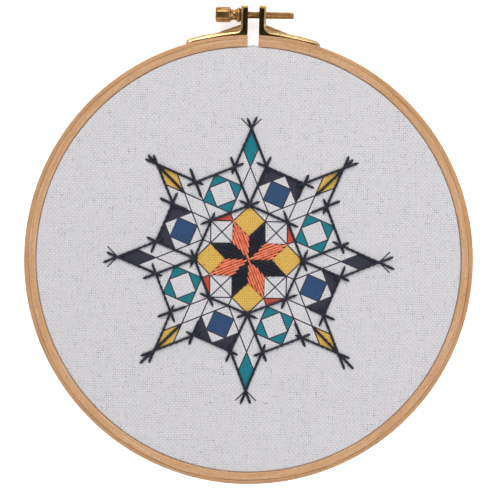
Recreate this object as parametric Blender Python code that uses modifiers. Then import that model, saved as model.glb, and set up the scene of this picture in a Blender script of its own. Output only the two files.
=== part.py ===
"""Embroidered cloth stretched in a wooden hoop frame.

Six pieces: a split outer hoop, a closed inner hoop, the cloth between them, two
pressed brass brackets on the ends of the split, and the screw that draws them
together. The hoop lies on its back with the cloth facing up and the split
towards +Y. Metres, +Z up. The origin is on the surface that the hoop lies on,
under the middle of the whole object, so the hoop's own centre is a little
towards -Y of it.
"""

from math import asin, cos, pi, radians, sin

import bmesh
import bpy
from mathutils import Matrix, Vector

COLLECTION = "hoop_embroidery"

# The two hoops.
HOOP_RADIUS = 0.105
HOOP_DEPTH = 0.009
HOOP_WIDTH = 0.0053
EDGE_CHAMFER = 0.0005
SPLIT_WIDTH = 0.0052

# How finely curves are faceted.
AROUND = 120
SCREW_AROUND = 40
BEND_STEPS = 5
SEAT_STEPS = 12

# Clearance between pieces that touch.
CLEAR = 0.0003

# The cloth, a shallow cup: a flat face and a skirt between the hoops.
CLOTH_THICKNESS = 0.001
CLOTH_BELOW_RIM = 0.0004
CLOTH_FOLD_RADIUS = 0.0015
SKIRT_ABOVE_BACK = 0.0006

# The brackets. Heights are above the outer hoop's outer face.
SHEET = 0.00075
BRACKET_WIDTH = 0.0074
EAR_HEIGHT = 0.014
EAR_THICKNESS = 0.00335
EAR_FROM_MIDDLE = 0.00265
CAP_HEIGHT = 0.0018
CAP_OVERHANG = 0.0001
BASE_HEIGHT = 0.0024
BASE_TIP_X = 0.0316
BASE_TOP_X = 0.0300
CORNER_RADIUS = 0.0017
HEEL_RADIUS = 0.0010
RIB_WIDTH = 0.0030
RIB_FOOT_X = 0.0180
RIB_TOP_HEIGHT = 0.0052

# The screw, from its head on the left to its rounded end on the right.
SCREW_HEIGHT = 0.0096
SHAFT_RADIUS = 0.0017
HOLE_RADIUS = SHAFT_RADIUS + CLEAR
HEAD_ACROSS_FLATS = 0.0068
HEAD_LENGTH = 0.0070
HEAD_BEVEL = 0.0006
HEAD_TURN = radians(8.4)
NECK_IN_HEAD = 0.0020
SHOULDER_RADIUS = 0.0029
WAIST_RADIUS = 0.0025
WAIST_FROM = 0.0079
WAIST_TO = 0.0087
COLLAR_RADIUS = 0.0036
COLLAR_FROM = 0.0105
COLLAR_TO = 0.0108
COLLAR_EDGE_RADIUS = 0.0029
HEAD_END_TO_EAR = 0.0119
END_BEYOND_EAR = 0.0131
END_ROUNDING = 0.0010

# Worked out from the sizes above. Flat outlines are drawn about the hoop's axis.
AXIS = (0.0, 0.0)
HOOP_CENTRE = Vector((0.0, -EAR_HEIGHT / 2, 0.0))
MID_DEPTH = HOOP_DEPTH / 2
OUTER_BORE = HOOP_RADIUS - HOOP_WIDTH
CLOTH_OUTSIDE = OUTER_BORE - CLEAR
CLOTH_INSIDE = CLOTH_OUTSIDE - CLOTH_THICKNESS
CLOTH_FRONT = HOOP_DEPTH - CLOTH_BELOW_RIM
INNER_RADIUS = CLOTH_INSIDE - CLEAR
INNER_TOP = CLOTH_FRONT - CLOTH_THICKNESS - CLEAR
EAR_OUTSIDE = EAR_FROM_MIDDLE + EAR_THICKNESS
SCREW_AXIS_Y = HOOP_RADIUS + SCREW_HEIGHT

# (sRGB colour, roughness, metallic) of each material.
FINISHES = {
    "beech": ((0.80, 0.64, 0.49), 0.55, 0.0),
    "cotton": ((0.84, 0.83, 0.86), 0.90, 0.0),
    "brass_plate": ((0.78, 0.66, 0.38), 0.30, 1.0),
    "brass_screw": ((0.68, 0.50, 0.27), 0.35, 1.0),
}


def to_linear(channel):
    """One sRGB channel as a linear value."""
    if channel <= 0.04045:
        return channel / 12.92
    return ((channel + 0.055) / 1.055) ** 2.4


def make_material(name):
    """The Principled material of this name."""
    colour, roughness, metallic = FINISHES[name]
    material = bpy.data.materials.new(name)
    material.use_nodes = True
    shader = material.node_tree.nodes["Principled BSDF"]
    shader.inputs["Base Color"].default_value = (*map(to_linear, colour), 1.0)
    shader.inputs["Roughness"].default_value = roughness
    shader.inputs["Metallic"].default_value = metallic
    return material


def new_collection(name):
    """A collection linked into the scene."""
    collection = bpy.data.collections.new(name)
    bpy.context.scene.collection.children.link(collection)
    return collection


def add_object(name, data, collection, material=None, at=HOOP_CENTRE):
    """An object with this data and material, placed in the collection."""
    item = bpy.data.objects.new(name, data)
    item.location = at
    collection.objects.link(item)
    if material:
        data.materials.append(material)
    return item


def profile_mesh(name, points, closed):
    """A line of (radius, height) points in the XZ plane, for a Screw modifier."""
    shape = bmesh.new()
    corners = [shape.verts.new((radius, 0.0, height)) for radius, height in points]
    for first, second in zip(corners, corners[1:]):
        shape.edges.new((first, second))
    if closed:
        shape.edges.new((corners[-1], corners[0]))
    mesh = bpy.data.meshes.new(name)
    shape.to_mesh(mesh)
    shape.free()
    return mesh


def turn(item, steps):
    """Spins the object's profile into a closed turned shape."""
    screw = item.modifiers.new("Turned", "SCREW")
    screw.axis = "Z"
    screw.angle = 2 * pi
    screw.steps = steps
    screw.render_steps = steps
    screw.use_merge_vertices = True
    screw.merge_threshold = 0.00001
    screw.use_smooth_shade = True


def cut_or_join(item, other, operation):
    """Adds a Boolean of the other object to this one."""
    boolean = item.modifiers.new(operation.title(), "BOOLEAN")
    boolean.operation = operation
    boolean.solver = "EXACT"
    boolean.object = other


def hide_cutter(item):
    """Marks an object as a cutter, which is no part of the model."""
    item.hide_render = True
    item.display_type = "WIRE"


def extruded_outline(name, outline, depth, collection, at):
    """A mesh object: a flat XY outline extruded by depth about its middle."""
    curve = bpy.data.curves.new(name, "CURVE")
    curve.dimensions = "2D"
    curve.fill_mode = "BOTH"
    curve.extrude = depth / 2
    spline = curve.splines.new("POLY")
    spline.points.add(len(outline) - 1)
    for point, (x, y) in zip(spline.points, outline):
        point.co = (x, y, 0.0, 1.0)
    spline.use_cyclic_u = True
    drawn = add_object(name + "_outline", curve, collection, at=at)
    bpy.context.view_layer.update()
    evaluated = drawn.evaluated_get(bpy.context.evaluated_depsgraph_get())
    mesh = bpy.data.meshes.new_from_object(evaluated)
    mesh.name = name
    shape = bmesh.new()
    shape.from_mesh(mesh)
    bmesh.ops.remove_doubles(shape, verts=shape.verts, dist=0.000001)
    bmesh.ops.recalc_face_normals(shape, faces=shape.faces)
    shape.to_mesh(mesh)
    shape.free()
    item = add_object(name, mesh, collection)
    item.matrix_world = drawn.matrix_world.copy()
    bpy.data.objects.remove(drawn)
    return item


def arc(centre, radius, start, end, pieces):
    """Points along an arc about a centre, from one angle to another."""
    points = []
    for step in range(pieces + 1):
        angle = start + (end - start) * step / pieces
        x = centre[0] + radius * cos(angle)
        y = centre[1] + radius * sin(angle)
        points.append((x, y))
    return points


def angle_at(x, radius):
    """The angle from +X of the point with this x on a circle about the hoop."""
    return pi / 2 - asin(x / radius)


def hoop_profile(inside, outside, bottom, top):
    """A rectangular section with chamfered edges, clockwise from its top."""
    chamfer = EDGE_CHAMFER
    return [
        (outside - chamfer, top),
        (outside, top - chamfer),
        (outside, bottom + chamfer),
        (outside - chamfer, bottom),
        (inside + chamfer, bottom),
        (inside, bottom + chamfer),
        (inside, top - chamfer),
        (inside + chamfer, top),
    ]


def build_outer_hoop(parts, cutters, material):
    """The outer hoop, split at +Y with square-cut ends."""
    profile = hoop_profile(OUTER_BORE, HOOP_RADIUS, 0.0, HOOP_DEPTH)
    hoop = add_object(
        "outer_hoop", profile_mesh("outer_hoop", profile, True), parts, material
    )
    turn(hoop, AROUND)
    shape = bmesh.new()
    bmesh.ops.create_cube(shape, size=1.0)
    size = (SPLIT_WIDTH, 3 * HOOP_WIDTH, 3 * HOOP_DEPTH)
    bmesh.ops.scale(shape, vec=size, verts=shape.verts)
    mesh = bpy.data.meshes.new("split")
    shape.to_mesh(mesh)
    shape.free()
    place = HOOP_CENTRE + Vector((0.0, HOOP_RADIUS - HOOP_WIDTH / 2, MID_DEPTH))
    split = add_object("split_cutter", mesh, cutters, at=place)
    hide_cutter(split)
    cut_or_join(hoop, split, "DIFFERENCE")


def build_inner_hoop(parts, material):
    """The closed inner hoop that the cloth is stretched over."""
    profile = hoop_profile(INNER_RADIUS - HOOP_WIDTH, INNER_RADIUS, 0.0, INNER_TOP)
    hoop = add_object(
        "inner_hoop", profile_mesh("inner_hoop", profile, True), parts, material
    )
    turn(hoop, AROUND)


def build_cloth(parts, material):
    """The stretched cloth: a flat face, a rounded fold and a skirt."""
    fold = CLOTH_FOLD_RADIUS
    inner_fold = fold - CLOTH_THICKNESS
    outside_centre = (CLOTH_OUTSIDE - fold, CLOTH_FRONT - fold)
    points = [(0.0, CLOTH_FRONT)]
    points += arc(outside_centre, fold, pi / 2, 0.0, 4)
    points += [(CLOTH_OUTSIDE, SKIRT_ABOVE_BACK), (CLOTH_INSIDE, SKIRT_ABOVE_BACK)]
    points += arc(outside_centre, inner_fold, 0.0, pi / 2, 2)
    points += [(0.0, CLOTH_FRONT - CLOTH_THICKNESS)]
    cloth = add_object("cloth", profile_mesh("cloth", points, False), parts, material)
    turn(cloth, AROUND)


def bracket_outline():
    """The bracket's side view, on the +X side of the split."""
    seat = HOOP_RADIUS + CLEAR
    back = HOOP_RADIUS + BASE_HEIGHT
    top = HOOP_RADIUS + EAR_HEIGHT
    corner_x = EAR_OUTSIDE + CORNER_RADIUS
    corner_y = (back**2 - corner_x**2) ** 0.5 + CORNER_RADIUS
    cap_radius = CAP_HEIGHT / 2
    cap_x = EAR_OUTSIDE + CAP_OVERHANG - cap_radius
    heel_x = EAR_FROM_MIDDLE + HEEL_RADIUS
    heel_y = (seat**2 - heel_x**2) ** 0.5 + HEEL_RADIUS
    cap_from = EAR_FROM_MIDDLE + cap_radius
    start = angle_at(corner_x, back)
    end = angle_at(BASE_TOP_X, back)
    tip = angle_at(BASE_TIP_X, seat)
    heel = angle_at(heel_x, seat)
    points = arc((heel_x, heel_y), HEEL_RADIUS, 1.5 * pi, pi, BEND_STEPS)
    points += arc((cap_from, top - cap_radius), cap_radius, pi, pi / 2, BEND_STEPS)
    points += arc((cap_x, top - cap_radius), cap_radius, pi / 2, -pi / 4, BEND_STEPS)
    points += [(EAR_OUTSIDE, top - CAP_HEIGHT)]
    points += arc((corner_x, corner_y), CORNER_RADIUS, pi, 1.5 * pi, BEND_STEPS)
    points += arc(AXIS, back, start, end, SEAT_STEPS)[1:]
    points += arc(AXIS, seat, tip, heel, SEAT_STEPS)[:-1]
    return points


def bracket_hollow():
    """What the pressed sheet leaves open, towards the split and the hoop."""
    inside = HOOP_RADIUS - SHEET
    under = HOOP_RADIUS + BASE_HEIGHT - SHEET
    roof = HOOP_RADIUS + EAR_HEIGHT - CAP_HEIGHT
    wall = EAR_OUTSIDE - SHEET
    bend = CORNER_RADIUS + SHEET
    bend_x = wall + bend
    bend_y = (under**2 - bend_x**2) ** 0.5 + bend
    start = angle_at(bend_x, under)
    end = angle_at(BASE_TOP_X - 2 * SHEET, under)
    points = [(0.0, roof), (wall, roof)]
    points += arc((bend_x, bend_y), bend, pi, 1.5 * pi, BEND_STEPS)
    points += arc(AXIS, under, start, end, SEAT_STEPS)[1:]
    points += arc(AXIS, inside, end, pi / 2, SEAT_STEPS)
    return points


def rib_outline():
    """The stiffening rib pressed up across the bracket's inner corner."""
    back = HOOP_RADIUS + BASE_HEIGHT
    foot = angle_at(RIB_FOOT_X, back)
    sunk = SHEET / 2
    inside = EAR_OUTSIDE - sunk
    return [
        (inside, HOOP_RADIUS + RIB_TOP_HEIGHT),
        (inside, back - sunk),
        ((back - sunk) * cos(foot), (back - sunk) * sin(foot)),
        (back * cos(foot), back * sin(foot)),
        (EAR_OUTSIDE, HOOP_RADIUS + RIB_TOP_HEIGHT),
    ]


def mirrored(outline, side):
    """The outline as drawn for side 1, or mirrored in X for side -1."""
    return [(side * x, y) for x, y in outline]


def lying_cylinder(name, radius, length, collection, at):
    """A cylinder along X."""
    shape = bmesh.new()
    bmesh.ops.create_cone(
        shape,
        cap_ends=True,
        segments=SCREW_AROUND,
        radius1=radius,
        radius2=radius,
        depth=length,
    )
    turned = Matrix.Rotation(pi / 2, 3, "Y")
    bmesh.ops.rotate(shape, matrix=turned, verts=shape.verts)
    mesh = bpy.data.meshes.new(name)
    shape.to_mesh(mesh)
    shape.free()
    return add_object(name, mesh, collection, at=at)


def build_bracket(name, side, parts, cutters, material):
    """One pressed bracket: a channel bent to an L, with a rib and a hole."""
    middle = HOOP_CENTRE + Vector((0.0, 0.0, MID_DEPTH))
    outline = mirrored(bracket_outline(), side)
    bracket = extruded_outline(name, outline, BRACKET_WIDTH, parts, middle)
    bracket.data.materials.append(material)
    hollow_width = BRACKET_WIDTH - 2 * SHEET
    hollow_outline = mirrored(bracket_hollow(), side)
    hollow_name = name + "_hollow_cutter"
    hollow = extruded_outline(
        hollow_name, hollow_outline, hollow_width, cutters, middle
    )
    rib_name = name + "_rib_joined"
    rib = extruded_outline(
        rib_name, mirrored(rib_outline(), side), RIB_WIDTH, cutters, middle
    )
    at_ear = Vector((side * (EAR_FROM_MIDDLE + EAR_OUTSIDE) / 2, SCREW_AXIS_Y, 0.0))
    hole = lying_cylinder(
        name + "_hole_cutter",
        HOLE_RADIUS,
        2 * EAR_THICKNESS,
        cutters,
        middle + at_ear,
    )
    for piece, operation in (
        (hollow, "DIFFERENCE"),
        (rib, "UNION"),
        (hole, "DIFFERENCE"),
    ):
        hide_cutter(piece)
        cut_or_join(bracket, piece, operation)


def screw_profile():
    """(radius, distance from the head's end) down the turned part of the screw."""
    length = HEAD_END_TO_EAR + 2 * EAR_OUTSIDE + END_BEYOND_EAR
    neck = HEAD_LENGTH - NECK_IN_HEAD
    collar_end = HEAD_END_TO_EAR - CLEAR
    return [
        (0.0, neck),
        (WAIST_RADIUS, neck),
        (SHOULDER_RADIUS, HEAD_LENGTH),
        (WAIST_RADIUS, WAIST_FROM),
        (WAIST_RADIUS, WAIST_TO),
        (COLLAR_RADIUS, COLLAR_FROM),
        (COLLAR_RADIUS, COLLAR_TO),
        (COLLAR_EDGE_RADIUS, collar_end),
        (SHAFT_RADIUS, collar_end),
        (SHAFT_RADIUS, length - END_ROUNDING),
        (SHAFT_RADIUS - END_ROUNDING / 3, length - END_ROUNDING / 3),
        (SHAFT_RADIUS - END_ROUNDING, length),
        (0.0, length),
    ]


def build_screw(parts, cutters, material):
    """The screw: a hexagonal head, a waist, a collar and a plain shaft."""
    turned_back = [(radius, -along) for radius, along in screw_profile()]
    start = Vector((-EAR_OUTSIDE - HEAD_END_TO_EAR, SCREW_AXIS_Y, MID_DEPTH))
    place = HOOP_CENTRE + start
    screw = add_object(
        "screw", profile_mesh("screw", turned_back, False), parts, material, place
    )
    turn(screw, SCREW_AROUND)
    screw.rotation_euler = (0.0, -pi / 2, 0.0)
    shape = bmesh.new()
    across_corners = HEAD_ACROSS_FLATS / cos(pi / 6)
    bmesh.ops.create_cone(
        shape,
        cap_ends=True,
        segments=6,
        radius1=across_corners / 2,
        radius2=across_corners / 2,
        depth=HEAD_LENGTH,
    )
    upright = Matrix.Rotation(HEAD_TURN, 3, "Z")
    bmesh.ops.rotate(shape, matrix=upright, verts=shape.verts)
    bmesh.ops.translate(shape, vec=(0.0, 0.0, -HEAD_LENGTH / 2), verts=shape.verts)
    mesh = bpy.data.meshes.new("head_joined")
    shape.to_mesh(mesh)
    shape.free()
    head = add_object("head_joined", mesh, cutters, at=place)
    head.rotation_euler = (0.0, -pi / 2, 0.0)
    bevel = head.modifiers.new("Worn edges", "BEVEL")
    bevel.width = HEAD_BEVEL
    bevel.segments = 2
    hide_cutter(head)
    cut_or_join(screw, head, "UNION")


def main():
    """Builds the whole object in an empty scene."""
    for item in list(bpy.data.objects):
        bpy.data.objects.remove(item)
    parts = new_collection(COLLECTION)
    cutters = new_collection(COLLECTION + "_cutters")
    finishes = {name: make_material(name) for name in FINISHES}
    build_outer_hoop(parts, cutters, finishes["beech"])
    build_inner_hoop(parts, finishes["beech"])
    build_cloth(parts, finishes["cotton"])
    plate = finishes["brass_plate"]
    build_bracket("bracket_left", -1, parts, cutters, plate)
    build_bracket("bracket_right", 1, parts, cutters, plate)
    build_screw(parts, cutters, finishes["brass_screw"])


main()
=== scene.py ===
"""Looks of an embroidered evenweave cloth stretched in a split beech hoop.

The hoop lies face up. Its front is stitched and printed with a quilt medallion,
an eight-pointed star in rings of squares and long diamonds. The CAD frame gives
every place: the hoops, the cloth, the pressed brass brackets and the screw are
remodelled in the space that their CAD nodes hold.
"""

import logging
import math
import random
from dataclasses import dataclass, field
from enum import Enum
from functools import partial
from typing import Callable, Sequence

import bmesh
import bpy
from bmesh.types import BMEdge, BMesh, BMFace, BMVert
from bpy.types import Material, Node, NodeSocket, NodeTree, Object
from mathutils import Matrix, Vector
from mathutils.geometry import delaunay_2d_cdt, intersect_line_line_2d


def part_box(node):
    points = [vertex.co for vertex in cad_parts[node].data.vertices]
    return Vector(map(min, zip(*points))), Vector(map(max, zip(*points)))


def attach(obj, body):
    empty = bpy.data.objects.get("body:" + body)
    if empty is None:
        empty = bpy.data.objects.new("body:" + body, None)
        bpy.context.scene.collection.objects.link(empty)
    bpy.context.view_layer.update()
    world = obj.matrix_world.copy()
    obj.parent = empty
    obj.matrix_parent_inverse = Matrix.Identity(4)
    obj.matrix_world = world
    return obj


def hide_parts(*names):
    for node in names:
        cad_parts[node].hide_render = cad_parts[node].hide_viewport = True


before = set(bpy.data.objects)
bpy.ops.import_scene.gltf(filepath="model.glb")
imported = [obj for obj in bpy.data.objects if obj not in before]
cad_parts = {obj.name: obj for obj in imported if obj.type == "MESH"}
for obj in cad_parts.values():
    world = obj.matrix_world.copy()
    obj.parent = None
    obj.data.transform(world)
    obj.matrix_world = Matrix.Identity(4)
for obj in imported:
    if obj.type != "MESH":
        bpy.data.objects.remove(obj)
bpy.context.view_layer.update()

log = logging.getLogger("hoop_embroidery")

Adder = Callable[..., NodeSocket]
Pair = tuple[float, float]
Triple = tuple[float, float, float]

MM = 0.001
MERGE = 1e-7  # metres within which two corners are one
FACING = 0.99  # a normal's share along an axis that it points straight along
HOOP_BODY = "hoop"
SCREW_BODY = "tension_screw"
EIGHTH = math.radians(45.0)
SIXTEENTH = EIGHTH / 2
WEAVE_MAP = "weave"
THREAD_MAP = "thread"


def linear(code: str) -> tuple[float, float, float, float]:
    """Turns an sRGB hex colour into linear RGBA.

    Args:
        code: six hex digits after a #.

    Returns:
        The linear colour with alpha 1.
    """
    values = [int(code[at : at + 2], 16) / 255 for at in (1, 3, 5)]
    toned = [v / 12.92 if v <= 0.04045 else ((v + 0.055) / 1.055) ** 2.4 for v in values]
    return (toned[0], toned[1], toned[2], 1.0)


def blend_hex(first: str, second: str, share: float) -> str:
    """Mixes two sRGB hex colours, with this share of the second."""
    pairs = [(int(first[at : at + 2], 16), int(second[at : at + 2], 16)) for at in (1, 3, 5)]
    return "#" + "".join(f"{round(a + (b - a) * share):02X}" for a, b in pairs)


def per_metre(steps_mm: Sequence[float]) -> tuple[float, ...]:
    """How many of each step in millimetres go into a metre."""
    return tuple(1 / (step * MM) for step in steps_mm)


def feed(node: Node, inputs: dict[int | str, object]) -> None:
    """Sets or links a node's inputs.

    Args:
        node: the node.
        inputs: for each input's name or number, its value or the socket to link.
    """
    for key, value in inputs.items():
        if isinstance(value, NodeSocket):
            node.id_data.links.new(value, node.inputs[key])
        else:
            node.inputs[key].default_value = value


def add_node(
    tree: NodeTree,
    kind: str,
    inputs: dict[int | str, object] | None = None,
    out: int | str = 0,
    **settings: object,
) -> NodeSocket:
    """Adds one shader node with its settings and links.

    Args:
        tree: the material's or world's node tree.
        kind: the node's type after "ShaderNode".
        inputs: what feeds its inputs.
        out: the name or number of the output to hand on.
        settings: the node's own properties.

    Returns:
        That output.
    """
    node = tree.nodes.new("ShaderNode" + kind)
    for name, value in settings.items():
        setattr(node, name, value)
    feed(node, inputs or {})
    return node.outputs[out]


def new_material(name: str) -> tuple[Material, Node, Adder]:
    """Makes an empty Principled material.

    Args:
        name: the real material's name.

    Returns:
        The material, its Principled node and what adds nodes to it.
    """
    material = bpy.data.materials.new(name)
    material.use_nodes = True
    tree = material.node_tree
    return material, tree.nodes["Principled BSDF"], partial(add_node, tree)


# --------------------------------------------------------------------- finishes


@dataclass(frozen=True)
class BeechFinish:
    """Steam-bent beech strip, planed and sanded, left without varnish.

    The grain runs round the hoop. The front edge shows where a darker growth
    ring leaves the strip as one line, with the short flecks that beech is known
    by. Each pattern's steps are along the strip, across it and through it.
    """

    name: str
    centre: Vector
    bore: float
    width: float
    light: str = "#E1BA92"
    deep: str = "#B07F52"
    line: str = "#8A5C38"
    warm: str = "#D09B6C"
    grain_mm: Triple = (13.3333, 0.4, 0.66667)
    drift_mm: Triple = (45.45, 2.381, 6.25)
    warm_mm: Triple = (22.22, 2.0, 8.333)
    fleck_mm: Triple = (2.6, 0.36, 0.36)
    grain_range: Pair = (0.34, 0.66)
    warm_range: Pair = (0.42, 0.62)
    fleck_range: Pair = (0.14, 0.36)
    outer_range: Pair = (-0.01, 0.05)
    line_at: float = 0.66
    line_width: float = 0.048
    line_drift: float = 1.2 * MM
    line_share: float = 0.95
    outer_share: float = 0.3
    grain_share: float = 0.66
    warm_share: float = 0.7
    fleck_share: float = 0.55
    roughness: Pair = (0.5, 0.72)
    relief: float = 0.06 * MM

    def make(self) -> Material:
        """Builds the wood on polar coordinates about the hoop's axis.

        Returns:
            The material.
        """
        material, shader, add = new_material(self.name)
        place = add("TexCoord", out="Object")
        centred = add("VectorMath", {0: place, 1: self.centre}, operation="SUBTRACT")
        x, y, z = add("SeparateXYZ", {0: centred}).node.outputs
        down = add("Math", {0: y, 1: -1.0}, operation="MULTIPLY")
        angle = add("Math", {0: x, 1: down}, operation="ARCTAN2")
        along = add("Math", {0: angle, 1: self.bore}, operation="MULTIPLY")
        flat = add("CombineXYZ", {0: x, 1: y})
        reach = add("VectorMath", {0: flat}, "Value", operation="LENGTH")
        space = add("CombineXYZ", {0: along, 1: reach, 2: z})
        grain, drift, warm, fleck = (
            add("Mapping", {0: space, 3: per_metre(steps)})
            for steps in (self.grain_mm, self.drift_mm, self.warm_mm, self.fleck_mm)
        )
        fine = add("TexNoise", {"Vector": grain, "Scale": 1.0, "Detail": 4.0, "Roughness": 0.6})
        warmth = add("TexNoise", {"Vector": warm, "Scale": 1.0, "Detail": 2.0})
        near = add("TexVoronoi", {"Vector": fleck, "Scale": 1.0, "Randomness": 1.0}, "Distance")
        low, high = self.fleck_range
        flecks = add("MapRange", {0: near, 1: low, 2: high, 3: 1.0, 4: 0.0})
        lined, outer = self._growth_ring(add, drift, reach)
        low, high = self.grain_range
        depth = add("MapRange", {0: fine, 1: low, 2: high, 4: self.grain_share})
        low, high = self.warm_range
        layers = (
            (add("Math", {0: depth, 1: outer}), self.deep),
            (add("MapRange", {0: warmth, 1: low, 2: high, 4: self.warm_share}), self.warm),
            (lined, self.line),
            (add("Math", {0: flecks, 1: self.fleck_share}, operation="MULTIPLY"), self.line),
        )
        colour = linear(self.light)
        for share, tint in layers:
            mixed = {0: share, 6: colour, 7: linear(tint)}
            colour = add("Mix", mixed, 2, data_type="RGBA")
        low, high = self.roughness
        height = add("Math", {0: fine, 1: flecks}, operation="SUBTRACT")
        bump = add("Bump", {"Height": height, "Strength": 0.35, "Distance": self.relief})
        rough = add("MapRange", {0: fine, 3: low, 4: high})
        looks = {"Base Color": colour, "Roughness": rough, "Normal": bump}
        feed(shader, looks | {"Specular IOR Level": 0.35})
        return material

    def _growth_ring(
        self, add: Adder, drift: NodeSocket, reach: NodeSocket
    ) -> tuple[NodeSocket, NodeSocket]:
        """Draws the ring's dark line, which wanders across the strip.

        Args:
            add: adds a node to the material.
            drift: where the line's wander is read from its noise.
            reach: the distance from the hoop's axis.

        Returns:
            The line's share, and the share of shade in the wood outside it.
        """
        noise = add("TexNoise", {"Vector": drift, "Scale": 1.0, "Detail": 2.0})
        swing = {0: noise, 1: 2 * self.line_drift, 2: -self.line_drift}
        moved = add("Math", {0: reach, 1: add("Math", swing, operation="MULTIPLY_ADD")})
        strip = {0: moved, 1: self.bore, 2: self.bore + self.width}
        share = add("MapRange", strip, clamp=False)
        off = add("Math", {0: share, 1: self.line_at}, operation="SUBTRACT")
        far = add("Math", {0: off}, operation="ABSOLUTE")
        line = add("MapRange", {0: far, 2: self.line_width, 3: self.line_share, 4: 0.0})
        low, high = self.outer_range
        return line, add("MapRange", {0: off, 1: low, 2: high, 4: self.outer_share})


@dataclass(frozen=True)
class EvenweaveFinish:
    """Plain-woven cotton evenweave, about 24 threads to the inch.

    The threads nearly touch, so each crossing shows as a small soft crown, and
    the gaps between them carry painted shade. Pinholes open in short rows where
    two neighbours drew apart and are painted dark, as the shade seen through them,
    and single threads run thicker or paler than the next. Ink colours the threads
    and leaves the weave showing. A pace is the noise's own step for each thread.
    """

    name: str
    crown: str
    # gap: painted shade between the threads.
    gap: str
    # hole: painted shade seen through a pinhole.
    hole: str
    warp_mm: float = 1.01
    weft_mm: float = 1.11
    wander: float = 0.5
    wander_mm: float = 4.348
    cover: float = 1.12
    uneven: float = 0.12
    slub_pace: float = 0.04
    slub_range: Pair = (0.3, 0.7)
    tone_spread: float = 0.02
    roundness: float = 0.6
    wave: float = 0.32
    lit_range: Pair = (0.25, 0.8)
    relief: float = 0.14 * MM
    speckle: float = 0.03
    weft_paler: float = 0.045
    thread_seeds: Pair = (3.1, 7.7)
    neighbour_step: float = 1.37
    pinhole_reach: Pair = (0.14, 0.42)
    pinhole_range: Pair = (1.02, 1.36)
    pinhole_pace: float = 0.26
    pinhole_seeds: Pair = (12.3, 27.9)
    least_luck: float = 0.35

    def make(self) -> Material:
        """Builds the weave on the cloth's own flat coordinates.

        Returns:
            The material.
        """
        material, shader, add = new_material(self.name)
        flat = add("UVMap", uv_map=WEAVE_MAP)
        pace = 1 / (self.wander_mm * MM)
        spread = add("Mapping", {0: flat, 3: (pace, pace, 1.0)})
        drift = add("TexNoise", {"Vector": spread, "Scale": 1.0, "Detail": 2.0}, "Color")
        centred = add("VectorMath", {0: drift, 1: (0.5, 0.5, 0.5)}, operation="SUBTRACT")
        shift = add("VectorMath", {0: centred, 3: self.wander}, operation="SCALE")
        threads = (*per_metre((self.warp_mm, self.weft_mm)), 0.0)
        counts = {0: flat, 1: threads, 2: shift}
        counted = add("VectorMath", counts, operation="MULTIPLY_ADD")
        across, along, _ = add("SeparateXYZ", {0: counted}).node.outputs
        first, second = self.thread_seeds
        warp = self._thread(add, across, along, first, 1.0 - self.weft_paler)
        weft = self._thread(add, along, across, second, 1.0 + self.weft_paler)
        heights = {
            0: self._height(add, warp, weft, self.wave),
            1: self._height(add, weft, warp, -self.wave),
        }
        top = add("Math", heights, operation="MAXIMUM")
        over = add("Math", heights, operation="GREATER_THAN")
        tone = add("Mix", {0: over, 2: weft["tone"], 3: warp["tone"]})
        crossing = add("CombineXYZ", {0: warp["index"], 1: weft["index"]})
        speck = add("TexWhiteNoise", {"Vector": crossing}, "Value", noise_dimensions="2D")
        speckled = add("MapRange", {0: speck, 3: -self.speckle, 4: self.speckle})
        # Painted shade: by the weave's height the colour runs from the crown colour on the threads'
        # tops down to the gap colour, painted shade between the threads.
        low, high = self.lit_range
        lit = add("MapRange", {0: top, 1: low, 2: high})
        dyed = {0: lit, 6: linear(self.gap), 7: linear(self.crown)}
        colour = add("Mix", dyed, 2, data_type="RGBA")
        toned = {0: colour, 3: add("Math", {0: tone, 1: speckled})}
        # Painted shade: open pinholes take the dark hole colour, the shade seen through them.
        pricked = {
            0: self._pinholes(add, across, along),
            6: add("VectorMath", toned, operation="SCALE"),
            7: linear(self.hole),
        }
        looks = {
            "Base Color": add("Mix", pricked, 2, data_type="RGBA"),
            "Normal": add("Bump", {"Height": top, "Strength": 0.3, "Distance": self.relief}),
            "Roughness": 0.9,
            "Specular IOR Level": 0.15,
        }
        feed(shader, looks)
        return material

    def _thread(
        self, add: Adder, across: NodeSocket, along: NodeSocket, seed: float, shade: float
    ) -> dict[str, NodeSocket]:
        """Follows one set of threads.

        Args:
            add: adds a node to the material.
            across: the count of threads across the set.
            along: the count of threads of the other set, along this one.
            seed: keeps the two sets' unevenness apart.
            shade: how pale this set is, 1 for the crown's own colour.

        Returns:
            Sockets: index, the thread's number; round, its rounded section; sign,
            +1 or -1 by turns; cross, a cosine along across; and tone.
        """
        index = add("Math", {0: across}, operation="ROUND")
        off = add("Math", {0: across, 1: index}, operation="SUBTRACT")
        slub = self._along(add, index, along, self.slub_pace, seed)
        girth = {0: slub, 1: self.uneven * 2, 2: self.cover / 2 - self.uneven}
        half = add("Math", girth, operation="MULTIPLY_ADD")
        ratio = add("Math", {0: off, 1: half}, operation="DIVIDE")
        squared = add("Math", {0: ratio, 1: ratio}, operation="MULTIPLY")
        left = add("Math", {0: 1.0, 1: squared}, operation="SUBTRACT", use_clamp=True)
        turn = add("Math", {0: index, 1: math.pi}, operation="MULTIPLY")
        wave = add("Math", {0: across, 1: math.pi}, operation="MULTIPLY")
        low, high = self.slub_range
        pale, deep = shade - self.tone_spread, shade + self.tone_spread
        return {
            "index": index,
            "round": add("Math", {0: left}, operation="SQRT"),
            "sign": add("Math", {0: turn}, operation="COSINE"),
            "cross": add("Math", {0: wave}, operation="COSINE"),
            "tone": add("MapRange", {0: slub, 1: low, 2: high, 3: pale, 4: deep}),
        }

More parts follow.
